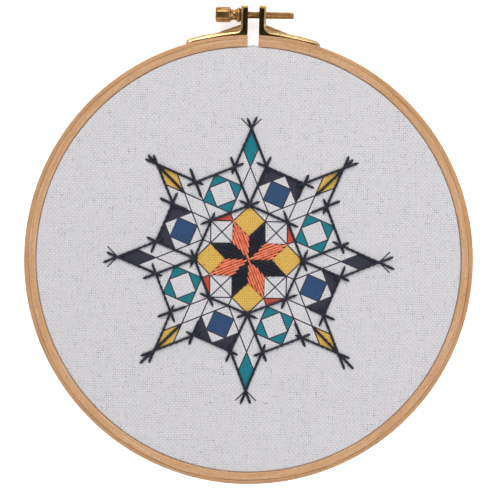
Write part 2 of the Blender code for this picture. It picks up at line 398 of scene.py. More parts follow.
    def _along(
        self, add: Adder, index: NodeSocket, along: NodeSocket, pace: float, seed: float
    ) -> NodeSocket:
        """Gives a slow noise along one thread or gap, unlike its neighbour's.

        Args:
            add: adds a node to the material.
            index: the number of the thread or gap.
            along: the count along it.
            pace: how fast the noise changes along it.
            seed: keeps the sets apart.

        Returns:
            The noise.
        """
        stepped = {0: index, 1: self.neighbour_step, 2: seed}
        step = add("Math", stepped, operation="MULTIPLY_ADD")
        run = add("Math", {0: along, 1: pace}, operation="MULTIPLY")
        spot = add("CombineXYZ", {0: step, 1: run, 2: seed})
        return add("TexNoise", {"Vector": spot, "Scale": 1.0, "Detail": 3.0})

    def _height(
        self, add: Adder, own: dict[str, NodeSocket], other: dict[str, NodeSocket], wave: float
    ) -> NodeSocket:
        """Gives one set's height, over and under the other set by turns.

        Args:
            add: adds a node to the material.
            own: this set's sockets.
            other: the other set's.
            wave: how far it rises, negative for the set that starts below.

        Returns:
            The height.
        """
        swing = add("Math", {0: own["sign"], 1: other["cross"]}, operation="MULTIPLY")
        lift = add("Math", {0: own["round"], 1: self.roundness}, operation="MULTIPLY")
        return add("Math", {0: swing, 1: wave, 2: lift}, operation="MULTIPLY_ADD")

    def _pinholes(self, add: Adder, across: NodeSocket, along: NodeSocket) -> NodeSocket:
        """Gives how far a pinhole is open between four threads.

        Args:
            add: adds a node to the material.
            across: the warp's count.
            along: the weft's count.

        Returns:
            A socket from 0, closed, to 1, open.
        """
        gaps = [add("Math", {0: axis}, operation="FLOOR") for axis in (across, along)]
        spot = add("CombineXYZ", {0: across, 1: along})
        inside = add("VectorMath", {0: spot}, operation="FRACTION")
        away = add("VectorMath", {0: inside, 1: (0.5, 0.5, 0.0)}, "Value", operation="DISTANCE")
        near, far = self.pinhole_reach
        dot = add("MapRange", {0: away, 1: near, 2: far, 3: 1.0, 4: 0.0})
        drawn_apart = {
            at: self._along(add, gaps[at], other, self.pinhole_pace, self.pinhole_seeds[at])
            for at, other in enumerate((along, across))
        }
        low, high = self.pinhole_range
        drawn = add("MapRange", {0: add("Math", drawn_apart), 1: low, 2: high})
        cell = add("CombineXYZ", {0: gaps[0], 1: gaps[1]})
        luck = add("TexWhiteNoise", {"Vector": cell}, "Value", noise_dimensions="2D")
        chance = add("MapRange", {0: luck, 3: self.least_luck, 4: 1.0})
        likely = add("Math", {0: drawn, 1: chance}, operation="MULTIPLY")
        return add("Math", {0: dot, 1: likely}, operation="MULTIPLY")


@dataclass(frozen=True)
class FlossFinish:
    """Stranded cotton floss, mercerised, so each strand has a soft silky line."""

    name: str
    crown: str
    # groove: painted shade in the grooves between the fibres.
    groove_shade: str
    sheen: float = 0.25
    twist_mm: float = 1.6
    cloud_mm: float = 2.381
    fibres: Triple = (9.0, 0.6, 1.0)  # to a turn round the strand and to a twist along it
    shade_range: Pair = (0.12, 0.36)
    relief: float = 0.06 * MM

    def make(self) -> Material:
        """Builds the floss on coordinates round and along each strand.

        Returns:
            The material.
        """
        material, shader, add = new_material(self.name)
        strand = add("UVMap", uv_map=THREAD_MAP)
        around, along, _ = add("SeparateXYZ", {0: strand}).node.outputs
        lay = add("Math", {0: along, 1: 1 / (self.twist_mm * MM)}, operation="MULTIPLY")
        spot = add("CombineXYZ", {0: add("Math", {0: around, 1: lay}), 1: lay})
        drawn = add("Mapping", {0: spot, 3: self.fibres})
        fibres = add("TexNoise", {"Vector": drawn, "Scale": 1.0, "Detail": 2.0})
        cloud = {"Vector": add("TexCoord", out="Object"), "Detail": 2.0}
        broad = add("TexNoise", cloud | {"Scale": 1 / (self.cloud_mm * MM)})
        share = add("Math", {0: fibres, 1: broad}, operation="MULTIPLY")
        low, high = self.shade_range
        mixed = add("MapRange", {0: share, 1: low, 2: high})
        # Painted light: the colour runs from the crown colour, partly painted highlight on the
        # fibres, to the groove colour, painted shade between them.
        dyed = {0: mixed, 6: linear(self.groove_shade), 7: linear(self.crown)}
        looks = {
            "Base Color": add("Mix", dyed, 2, data_type="RGBA"),
            "Normal": add("Bump", {"Height": fibres, "Strength": 0.4, "Distance": self.relief}),
            "Roughness": 0.55,
            "Specular IOR Level": 0.35,
            "Sheen Weight": self.sheen,
            "Sheen Roughness": 0.4,
        }
        feed(shader, looks)
        return material


@dataclass(frozen=True)
class BrassFinish:
    """Brass, pressed and plated or turned, dulled a little by handling.

    Cloudy tarnish goes from the bright colour to the dull one, and roughens the
    metal as it goes. Fine marks are left by the tool.
    """

    name: str
    bright: str
    dull: str
    roughness: Pair
    cloud_mm: float
    marks_mm: Triple
    tarnish_range: Pair = (0.35, 0.7)
    rough_range: Pair = (0.3, 0.7)
    relief: float = 0.04 * MM

    def make(self) -> Material:
        """Builds the metal with its tool marks and tarnish.

        Returns:
            The material.
        """
        material, shader, add = new_material(self.name)
        place = add("TexCoord", out="Object")
        cloudy = {"Vector": place, "Scale": 1 / (self.cloud_mm * MM)}
        cloud = add("TexNoise", cloudy | {"Detail": 4.0, "Roughness": 0.6})
        drawn = add("Mapping", {0: place, 3: per_metre(self.marks_mm)})
        marks = add("TexNoise", {"Vector": drawn, "Scale": 1.0, "Detail": 2.0})
        low, high = self.tarnish_range
        share = add("MapRange", {0: cloud, 1: low, 2: high})
        tarnished = {0: share, 6: linear(self.bright), 7: linear(self.dull)}
        low, high = self.rough_range
        smooth, rough = self.roughness
        looks = {
            "Base Color": add("Mix", tarnished, 2, data_type="RGBA"),
            "Roughness": add("MapRange", {0: cloud, 1: low, 2: high, 3: smooth, 4: rough}),
            "Normal": add("Bump", {"Height": marks, "Strength": 0.12, "Distance": self.relief}),
            "Metallic": 1.0,
        }
        feed(shader, looks)
        return material


@dataclass(frozen=True)
class LitTableFinish:
    """Opal acrylic table, lit softly from below, so that shadows stay faint."""

    name: str = "lit_acrylic"
    colour: str = "#E8E8E8"
    glow: float = 0.7
    tooth_mm: float = 1.111
    relief: float = 0.1 * MM

    def make(self) -> Material:
        """Builds the acrylic with the faintest tooth.

        Returns:
            The material.
        """
        material, shader, add = new_material(self.name)
        place = add("TexCoord", out="Object")
        tooth = add("TexNoise", {"Vector": place, "Scale": 1 / (self.tooth_mm * MM)})
        looks = {
            "Base Color": linear(self.colour),
            "Normal": add("Bump", {"Height": tooth, "Strength": 0.05, "Distance": self.relief}),
            "Emission Color": linear("#FFFFFF"),
            "Emission Strength": self.glow,
            "Roughness": 0.9,
            "Specular IOR Level": 0.1,
        }
        feed(shader, looks)
        return material


# ----------------------------------------------------------------------- pieces


def add_piece(
    name: str,
    shape: BMesh,
    materials: Sequence[Material],
    body: str,
    slot: str,
    sharp_deg: float = 40.0,
    stands_for: Sequence[str] = (),
) -> Object:
    """Turns a bmesh into a piece that rides on a body.

    Args:
        name: the piece's name.
        shape: its mesh in the row frame, which is freed.
        materials: its material slots, in order.
        body: the CAD body that it moves with.
        slot: not used.
        sharp_deg: edges that turn more than this stay sharp.
        stands_for: the CAD nodes that it replaces.

    Returns:
        The new object.
    """
    mesh = bpy.data.meshes.new(name)
    shape.to_mesh(mesh)
    shape.free()
    for material in materials:
        mesh.materials.append(material)
    mesh.shade_smooth()
    mesh.set_sharp_from_angle(angle=math.radians(sharp_deg))
    piece = bpy.data.objects.new(name, mesh)
    bpy.context.scene.collection.objects.link(piece)
    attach(piece, body)
    if stands_for:
        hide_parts(*stands_for)
    log.info("%s: %d faces on %s", name, len(mesh.polygons), body)
    return piece


def ease_edges(shape: BMesh, edges: Sequence[BMEdge], offset: float, segments: int) -> None:
    """Rounds edges.

    Args:
        shape: the mesh.
        edges: the edges to round.
        offset: how far from each edge the round starts.
        segments: facets in each round.
    """
    bmesh.ops.bevel(
        shape,
        geom=edges,
        offset=offset,
        segments=segments,
        profile=0.5,
        affect="EDGES",
        material=-1,
    )


def spin_section(shape: BMesh, section: Sequence[BMVert | BMEdge], turn: float, steps: int) -> None:
    """Spins a section about +Z, and welds it when the turn is a full one.

    Args:
        shape: the mesh.
        section: the section's corners and edges.
        turn: the angle.
        steps: facets in that angle.
    """
    bmesh.ops.spin(
        shape,
        geom=section,
        axis=(0.0, 0.0, 1.0),
        cent=(0.0, 0.0, 0.0),
        dvec=(0.0, 0.0, 0.0),
        angle=turn,
        steps=steps,
        use_merge=turn == 2 * math.pi,
    )


def join(shape: BMesh, other: BMesh) -> None:
    """Adds one bmesh's faces to another.

    Args:
        shape: the mesh that grows.
        other: the mesh to add, which is freed.
    """
    mesh = bpy.data.meshes.new("joined")
    other.to_mesh(mesh)
    other.free()
    shape.from_mesh(mesh)
    bpy.data.meshes.remove(mesh)


def polar(reach: float, angle: float) -> Vector:
    """The flat point at this distance and angle from the middle."""
    return Vector((reach * math.cos(angle), reach * math.sin(angle)))


@dataclass
class HoopPlan:
    """Where everything lies, read from the frame's own boxes."""

    centre: Vector = field(init=False)
    radius: float = field(init=False)
    depth: float = field(init=False)
    cloth_outside: float = field(init=False)
    cloth_front: float = field(init=False)
    skirt_bottom: float = field(init=False)

    def __post_init__(self) -> None:
        """Reads the boxes of the hoop and the cloth."""
        low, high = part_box("outer_hoop")
        self.radius = (high.x - low.x) / 2
        self.centre = Vector(((low.x + high.x) / 2, low.y + self.radius, low.z))
        self.depth = high.z - low.z
        low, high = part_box("cloth")
        self.cloth_outside = (high.x - low.x) / 2
        self.cloth_front = high.z
        self.skirt_bottom = low.z


@dataclass
class BentHoop:
    """One hoop bent from a beech strip, split or closed."""

    name: str
    node: str
    slot: str
    plan: HoopPlan
    inside: float
    outside: float
    top: float
    split_width: float = 0.0
    rounding: float = 0.6 * MM
    corner_steps: int = 3
    around: int = 288
    end_rounding: float = 0.3 * MM

    def _section(self) -> list[Vector]:
        """The (radius, height) points of the strip, its corners rounded.

        Returns:
            The points, once round.
        """
        inset = self.rounding
        corners = (
            (self.outside - inset, self.top - inset, 0.0),
            (self.inside + inset, self.top - inset, 90.0),
            (self.inside + inset, inset, 180.0),
            (self.outside - inset, inset, 270.0),
        )
        return [
            Vector((across, height))
            + polar(inset, math.radians(start + 90.0 * step / self.corner_steps))
            for across, height, start in corners
            for step in range(self.corner_steps + 1)
        ]

    def build(self, finish: BeechFinish) -> Object:
        """Spins the strip's section round the hoop and dresses it.

        Args:
            finish: the beech.

        Returns:
            The hoop.
        """
        shape = bmesh.new()
        half_split = math.asin(self.split_width / 2 / self.outside)
        start = Matrix.Rotation(math.pi / 2 + half_split, 3, "Z")
        corners = [shape.verts.new(start @ Vector((r, 0.0, z))) for r, z in self._section()]
        edges = [shape.edges.new((corner, corners[at - 1])) for at, corner in enumerate(corners)]
        spin_section(shape, corners + edges, 2 * math.pi - 2 * half_split, self.around)
        if self.split_width:
            self._cap_ends(shape)
        bmesh.ops.remove_doubles(shape, verts=shape.verts, dist=MERGE)
        bmesh.ops.recalc_face_normals(shape, faces=shape.faces)
        bmesh.ops.translate(shape, vec=self.plan.centre, verts=shape.verts)
        beech = [finish.make()]
        return add_piece(
            self.name, shape, beech, HOOP_BODY, self.slot, stands_for=[self.node]
        )

    def _cap_ends(self, shape: BMesh) -> None:
        """Closes the square-cut ends and eases their edges.

        Args:
            shape: the spun strip.
        """
        for side in (-1, 1):
            open_edges = [edge for edge in shape.edges if edge.is_boundary]
            rim = [edge for edge in open_edges if side * edge.verts[0].co.x > 0]
            bmesh.ops.contextual_create(shape, geom=rim)
            ease_edges(shape, rim, self.end_rounding, 2)


# -------------------------------------------------------------------- ornament


class Ink(Enum):
    """The printed colours, in the order of the cloth's material slots."""

    BARE = 0
    OUTLINE = 1
    MUSTARD = 2
    BLUE = 3
    TEAL = 4
    BLACK = 5
    RED = 6
    CORAL = 7


@dataclass(frozen=True)
class Cell:
    """One printed shape of the ornament."""

    corners: tuple[Vector, ...]
    ink: Ink


@dataclass(frozen=True)
class Stitch:
    """One straight stitch on the cloth's face, from hole to hole."""

    start: Vector
    end: Vector


@dataclass
class Medallion:
    """A traditional quilt medallion, laid out from the side of its small diamond.

    Eight diamonds meet in a star. Squares and triangles fill it out to an
    octagon, each side of which carries a larger square, and a long diamond
    fills each gap between those squares. Thick stitches follow its outlines
    and run on past their corners by the overruns.
    """

    side: float = 10.5 * MM
    line_width: float = 0.6 * MM
    satin_pitch: float = 1.14 * MM
    satin_margin: float = 0.3 * MM
    satin_ragged: Pair = (-0.35 * MM, 0.45 * MM)
    whisker: float = 6.5 * MM
    stray: float = 0.25 * MM
    overrun_chance: Pair = (0.75, 1.3)
    octagon_overrun: float = 4.2 * MM
    square_overrun: float = 4.6 * MM
    diamond_overruns: Pair = (3.4 * MM, 6.0 * MM)
    foot_overruns: Pair = (1.5 * MM, 5.0 * MM)
    short_share: float = 0.6
    short_overrun: float = 6.0 * MM
    spine_overrun: float = 8.0 * MM
    seed: int = 11
    cells: list[Cell] = field(default_factory=list)
    lines: list[tuple[Vector, Vector]] = field(default_factory=list)
    outlines: list[Stitch] = field(default_factory=list)
    satin: dict[str, list[list[Stitch]]] = field(default_factory=dict)

    def __post_init__(self) -> None:
        """Lays the whole ornament out."""
        self.chance = random.Random(self.seed)
        self.tip = 2 * self.side * math.cos(SIXTEENTH)
        self.corner = self.side * (1 + math.sqrt(2))
        self.satin = {"coral": [], "navy": []}
        for turn in range(8):
            self._star_point(turn)
            self._inner_square(turn)
            self._tip_triangle(turn)
            self._outer_square(turn)
            self._ray(turn)

    @property
    def holes(self) -> list[Vector]:
        """Where the needle went through for the thick stitches."""
        return [hole for stitch in self.outlines for hole in (stitch.start, stitch.end)]

    def _ray_angle(self, turn: int) -> float:
        """The direction of the turn's ray."""
        return math.pi / 2 - turn * EIGHTH

    def _point_angle(self, turn: int) -> float:
        """The direction of the turn's star point, half way to the next ray."""
        return self._ray_angle(turn) - SIXTEENTH

    def _corner(self, turn: int) -> Vector:
        """The octagon's corner on the turn's ray."""
        return polar(self.corner, self._ray_angle(turn))

    def _line(self, *corners: Vector, closed: bool = False) -> None:
        """Adds printed lines from corner to corner.

        Args:
            corners: the corners, in order.
            closed: whether a line also joins the last to the first.
        """
        self.lines += list(zip(corners, corners[1:]))
        if closed:
            self.lines.append((corners[-1], corners[0]))

    def _cell(self, ink: Ink, *corners: Vector) -> None:
        """Adds one printed shape."""
        self.cells.append(Cell(corners, ink))

    def _outline(self, start: Vector, end: Vector, before: float, after: float) -> None:
        """Adds a thick stitch along a line, a little astray.

        Args:
            start: the line's start.
            end: its end.
            before: how far the stitch starts before it.
            after: how far the stitch runs on past it.
        """
        along = (end - start).normalized()
        side = Vector((-along.y, along.x))
        near = self.chance.uniform(-self.stray, self.stray)
        far = self.chance.uniform(-self.stray, self.stray)
        longer = self.chance.uniform(*self.overrun_chance)
        first = start - along * before * longer + side * near
        self.outlines.append(Stitch(first, end + along * after * longer + side * far))

    def _star_point(self, turn: int) -> None:
        """One diamond of the star, filled with satin stitch along its length.

        Args:
            turn: which of the eight.
        """
        angle = self._point_angle(turn)
        middle = Vector((0.0, 0.0))
        tip = polar(self.tip, angle)
        left = polar(self.side, self._ray_angle(turn))
        right = polar(self.side, self._ray_angle(turn + 1))
        self._line(middle, left, tip, right)
        self._cell(Ink.CORAL if turn % 2 else Ink.BLACK, middle, left, tip, right)
        along = tip.normalized()
        across = Vector((-along.y, along.x))
        half_width = (left - right).length / 2
        half_length = self.tip / 2
        count = int(2 * half_width / self.satin_pitch)
        threads = []
        for row in range(count):
            off = (row - (count - 1) / 2) * self.satin_pitch
            reach = half_length * (1 - abs(off) / (half_width + self.satin_margin))
            before, after = (self.chance.uniform(*self.satin_ragged) for _ in range(2))
            centre = along * half_length + across * off
            start, end = centre - along * (reach + before), centre + along * (reach + after)
            threads.append(Stitch(start, end))
        self.satin["coral" if turn % 2 else "navy"].append(threads)

    def _inner_square(self, turn: int) -> None:
        """The square in one notch of the star.

        Args:
            turn: which of the eight.
        """
        corners = (
            polar(self.side, self._ray_angle(turn)),
            polar(self.tip, self._point_angle(turn)),
            self._corner(turn),
            polar(self.tip, self._point_angle(turn - 1)),
        )
        self._line(*corners[1:])
        if turn % 2 == 0:
            self._cell(Ink.MUSTARD, *corners)
        else:
            self._line(corners[0], corners[2])
            self._line(corners[1], corners[3])

    def _tip_triangle(self, turn: int) -> None:
        """The triangle between a star point's tip and the octagon's side.

        Args:
            turn: which of the eight.
        """
        tip = polar(self.tip, self._point_angle(turn))
        left, right = self._corner(turn), self._corner(turn + 1)
        self._line(left, right)
        self._outline(left, right, self.octagon_overrun, self.octagon_overrun)
        middle = (left + right) / 2
        self._line(tip, middle)
        if turn % 2:
            self._cell(Ink.RED, tip, left, middle)

    def _outer_square(self, turn: int) -> None:
        """The square standing on one side of the octagon.

        Args:
            turn: which of the eight.
        """
        out = polar(self.tip, self._point_angle(turn))
        left, right = self._corner(turn), self._corner(turn + 1)
        corners = (left, left + out, right + out, right)
        self._line(*corners)
        self._outline(corners[1], corners[2], self.square_overrun, self.square_overrun)
        halves = [(corners[at] + corners[(at + 1) % 4]) / 2 for at in range(4)]
        quarters = [(halves[at] + halves[(at + 1) % 4]) / 2 for at in range(4)]
        self._line(*halves, closed=True)
        self._line(*quarters, closed=True)
        if turn % 2:
            self._cell(Ink.TEAL, *halves)
            self._cell(Ink.BARE, *quarters)
        else:
            self._cell(Ink.BLUE, *quarters)
            self._cell(Ink.BLACK, halves[0], corners[1], halves[1])
            self._cell(Ink.BLACK, halves[1], corners[2], halves[2])

    def _ray(self, turn: int) -> None:
        """The long diamond between two outer squares, in four small ones.

        Args:
            turn: which of the eight.
        """
        foot = self._corner(turn)
        left = polar(self.tip, self._point_angle(turn - 1))
        right = polar(self.tip, self._point_angle(turn))
        tip = foot + left + right
        middle = (foot + tip) / 2
        self._line(foot + left, tip, foot + right)
        for flank in (left, right):
            self._line(foot + flank / 2, tip - flank / 2)
        for flank in (left, right):
            self._outline(foot + flank, tip, *self.diamond_overruns)
        end_cell = (middle, tip - left / 2, tip, tip - right / 2)
        if turn % 2 == 0:
            for flank in (left, right):
                self._outline(foot, foot + flank, *self.foot_overruns)
            self._cell(Ink.BLACK if turn % 4 else Ink.TEAL, *end_cell)
            for swing in (-1, 1):
                whisker = polar(self.whisker, self._ray_angle(turn) + swing * EIGHTH)
                self._line(tip, tip + whisker)
        else:
            for flank in (left, right):
                start = foot + flank * self.short_share
                self._outline(start, foot + flank, 0.0, self.short_overrun)
            self._cell(Ink.MUSTARD, *end_cell)
            self._outline(middle, tip, 0.0, self.spine_overrun)


# ----------------------------------------------------------------------- cloth


@dataclass
class StretchedCloth:
    """The evenweave: a flat face, the fold over the inner hoop and the skirt."""

    plan: HoopPlan
    ornament: Medallion
    thickness: float = 0.4 * MM
    fold_radius: float = 0.8 * MM
    fold_steps: int = 6
    skirt_steps: int = 5
    grid: float = 2.0 * MM
    row_share: float = 0.866
    margin_share: float = 0.7
    around: int = 288
    split_width: float = 5.2 * MM
    bulge: float = 0.25 * MM
    skirt_bulge: float = 0.9 * MM
    dimple: float = 0.14 * MM
    dimple_radius: float = 0.8 * MM
    dimple_reach: float = 3.0
    dimple_ring: float = 0.7
    dimple_sides: int = 6
    print_merge_mm: float = 1e-4

    def __post_init__(self) -> None:
        """Works out the flat part's radius and the skirt's length."""
        self.flat_radius = self.plan.cloth_outside - self.fold_radius
        self.top = self.plan.cloth_front
        self.fold_length = self.fold_radius * math.pi / 2
        self.skirt_length = self.top - self.fold_radius - self.plan.skirt_bottom
        self.cut_radius = self.flat_radius + self.fold_length + self.skirt_length
        self.printed: list[tuple[tuple[Vector, ...], Ink, Vector, float]] = []

    def _flat_points(self) -> list[Vector]:
        """The face's rim first, then a grid and rings round the needle's holes.

        Returns:
            The points, about the hoop's axis.
        """
        step = 2 * math.pi / self.around
        points = [polar(self.flat_radius, at * step) for at in range(self.around)]
        limit = self.flat_radius - self.margin_share * self.grid
        count = int(self.flat_radius / self.grid) + 1
        for row in range(-count, count + 1):
            for column in range(-count, count + 1):
                spot = Vector((column + 0.5 * (row % 2), row * self.row_share)) * self.grid
                if spot.length < limit:
                    points.append(spot)
        ring = self.dimple_radius * self.dimple_ring
        step = 2 * math.pi / self.dimple_sides
        for hole in self.ornament.holes:
            points.append(hole.copy())
            points += [hole + polar(ring, at * step) for at in range(self.dimple_sides)]
        return points

    def _shapes(self) -> list[tuple[tuple[Vector, ...], Ink]]:
        """The printed shapes, the fills first and the lines on top.

        Returns:
            Each shape's corners and its ink.
        """
        shapes = [(cell.corners, cell.ink) for cell in self.ornament.cells]
        half = self.ornament.line_width / 2
        for start, end in self.ornament.lines:
            along = (end - start).normalized() * half
            side = Vector((-along.y, along.x))
            first, last = start - along, end + along
            strip = (first - side, last - side, last + side, first + side)
            shapes.append((strip, Ink.OUTLINE))
        return shapes

    def _ink_at(self, spot: Vector) -> Ink:
        """Finds the ink printed at a flat point.

        Args:
            spot: the point.

        Returns:
            The ink of the last shape that covers it.
        """
        for corners, ink, middle, reach in self.printed:
            if (spot - middle).length_squared > reach:
                continue
            sides = [
                (after - before).cross(spot - before)
                for before, after in zip(corners, corners[1:] + corners[:1])
            ]
            if min(sides) > 0 or max(sides) < 0:
                return ink
        return Ink.BARE

    def _face(self) -> BMesh:
        """Triangulates the face so that no triangle crosses a printed edge.

        Returns:
            The face, about the hoop's axis, each triangle in its ink's slot.
        """
        points = self._flat_points()
        rim = list(range(self.around))
        edges = list(zip(rim, rim[1:] + rim[:1]))
        for corners, ink in self._shapes():
            at = list(range(len(points), len(points) + len(corners)))
            edges += list(zip(at, at[1:] + at[:1]))
            points += list(corners)
            middle = sum(corners, Vector((0.0, 0.0))) / len(corners)
            reach = max((corner - middle).length_squared for corner in corners)
            self.printed.insert(0, (corners, ink, middle, reach))
        flat = [point / MM for point in points]
        found = delaunay_2d_cdt(flat, edges, [], 0, self.print_merge_mm)
        shape = bmesh.new()
        places = [spot * MM for spot in found[0]]
        verts = [shape.verts.new((*spot, self.top)) for spot in places]
        for triangle in found[2]:
            middle = sum((places[at] for at in triangle), Vector((0.0, 0.0))) / 3
            face = shape.faces.new([verts[at] for at in triangle])
            face.material_index = self._ink_at(middle).value
        return shape

    def _rings(self) -> list[Triple]:
        """The rings that carry the rim over the fold and down the skirt.

        Returns:
            For each ring its radius, its height and its radius before folding.
        """
        rings = []
        for at in range(1, self.fold_steps + 1):
            share = at / self.fold_steps
            turned = share * math.pi / 2
            reach = self.flat_radius + self.fold_radius * math.sin(turned)
            height = self.top - self.fold_radius * (1 - math.cos(turned))
            rings.append((reach, height, self.flat_radius + self.fold_length * share))
        folded = self.flat_radius + self.fold_length
        for at in range(1, self.skirt_steps + 1):
            drop = self.skirt_length * at / self.skirt_steps
            height = self.top - self.fold_radius - drop
            rings.append((self.plan.cloth_outside, height, folded + drop))
        return rings

    def _fold_down(self, shape: BMesh) -> None:
        """Carries the rim over the inner hoop and down between the hoops.

        Args:
            shape: the flat face, which also gets the weave's coordinates.
        """
        flat = shape.loops.layers.uv.new(WEAVE_MAP)
        for face in shape.faces:
            for loop in face.loops:
                loop[flat].uv = loop.vert.co.xy
        rim = [edge for edge in shape.edges if edge.is_boundary]
        unfolded = {vert: self.flat_radius for edge in rim for vert in edge.verts}
        for reach, height, cut in self._rings():
            made = bmesh.ops.extrude_edge_only(shape, edges=rim)["geom"]
            for vert in (item for item in made if isinstance(item, BMVert)):
                vert.co = Vector((*(vert.co.xy.normalized() * reach), height))
                unfolded[vert] = cut
            rim = [item for item in made if isinstance(item, BMEdge)]
            for face in {face for edge in rim for face in edge.link_faces}:
                for loop in face.loops:
                    out = loop.vert.co.xy.normalized()
                    loop[flat].uv = out * unfolded[loop.vert]

    def _settle(self, shape: BMesh) -> None:
        """Draws dimples at the needle's holes and lets the split's edge bulge.

        Args:
            shape: the folded cloth.
        """
        holes = self.ornament.holes
        for vert in shape.verts:
            spot = vert.co.xy
            if spot.length < self.flat_radius - self.grid:
                for hole in holes:
                    off = (spot - hole).length / self.dimple_radius
                    if off < self.dimple_reach:
                        vert.co.z -= self.dimple * math.exp(-(off**2))
            elif spot.y > 0 and abs(spot.x) < self.split_width:
                near = math.cos(spot.x / self.split_width * math.pi / 2) ** 2
                out = (spot.length - self.flat_radius) / self.fold_radius
                under = (self.top - vert.co.z) / self.fold_radius - 1.0
                grow = self.bulge * near * min(max(out, 0.0), 1.0)
                grow += self.skirt_bulge * near * min(max(under, 0.0), 1.0)
                vert.co.xy = spot + spot.normalized() * grow

    def build(self, finishes: Sequence[Material]) -> Object:
        """Builds the cloth as a thin sheet with its own reverse.

        Args:
            finishes: the face's materials in Ink's order, then the reverse's.

        Returns:
            The cloth.
        """
        shape = self._face()
        self._fold_down(shape)
        self._settle(shape)
        bmesh.ops.recalc_face_normals(shape, faces=shape.faces)
        if sum(face.normal.z for face in shape.faces) < 0:
            bmesh.ops.reverse_faces(shape, faces=shape.faces)
        bmesh.ops.translate(shape, vec=self.plan.centre, verts=shape.verts)
        cloth = add_piece("Cloth", shape, finishes, HOOP_BODY, "cloth", 60.0, ["cloth"])
        solid = cloth.modifiers.new("Cloth thickness", "SOLIDIFY")
        solid.thickness = self.thickness
        solid.offset = -1.0
        solid.material_offset = len(Ink)
        solid.material_offset_rim = 0
        return cloth


# --------------------------------------------------------------------- threads


@dataclass
class StrandSweep:
    """Lays one strand of floss along a path, from one unit tube that it repeats."""

    sides: int
    rings: int

    def __post_init__(self) -> None:
        """Makes the unit tube: radius 1, from z 0 to z 1, in even rings."""
        tube = bmesh.new()
        bmesh.ops.create_cone(
            tube, cap_ends=True, segments=self.sides, radius1=1.0, radius2=1.0, depth=1.0
        )
        bmesh.ops.translate(tube, vec=(0.0, 0.0, 0.5), verts=tube.verts)
        upright = [edge for edge in tube.edges if edge.verts[0].co.z != edge.verts[1].co.z]
        bmesh.ops.subdivide_edges(tube, edges=upright, cuts=self.rings - 1)
        tube.loops.layers.uv.new(THREAD_MAP)
        self.unit = bpy.data.meshes.new("unit_strand")
        self.piece = bpy.data.meshes.new("strand")
        tube.to_mesh(self.unit)
        tube.free()

    def add(
        self, whole: BMesh, path: Sequence[Vector], radii: Sequence[float], across: Vector
    ) -> None:
        """Bends the unit tube along a path and adds it to a whole.

        Args:
            whole: the bmesh that collects the strands.
            path: one point for each ring and the first end.
            radii: the strand's radius at each of those points.
            across: a direction square to the path, in the cloth's plane.
        """
        strand = bmesh.new()
        strand.from_mesh(self.unit)
        places = strand.loops.layers.uv[THREAD_MAP]
        length = (path[-1] - path[0]).length
        for face in strand.faces:
            for loop in face.loops:
                spot = loop.vert.co
                round_about = math.atan2(spot.y, spot.x) / (2 * math.pi)
                loop[places].uv = (round_about, spot.z * length)
        last = len(path) - 1
        for vert in strand.verts:
            at = round(vert.co.z * last)
            tangent = path[min(at + 1, last)] - path[max(at - 1, 0)]
            up = tangent.cross(across).normalized()
            radius = radii[at]
            vert.co = path[at] + across * (vert.co.x * radius) + up * (vert.co.y * radius)
        bmesh.ops.recalc_face_normals(strand, faces=strand.faces)
        strand.to_mesh(self.piece)
        strand.free()
        whole.from_mesh(self.piece)


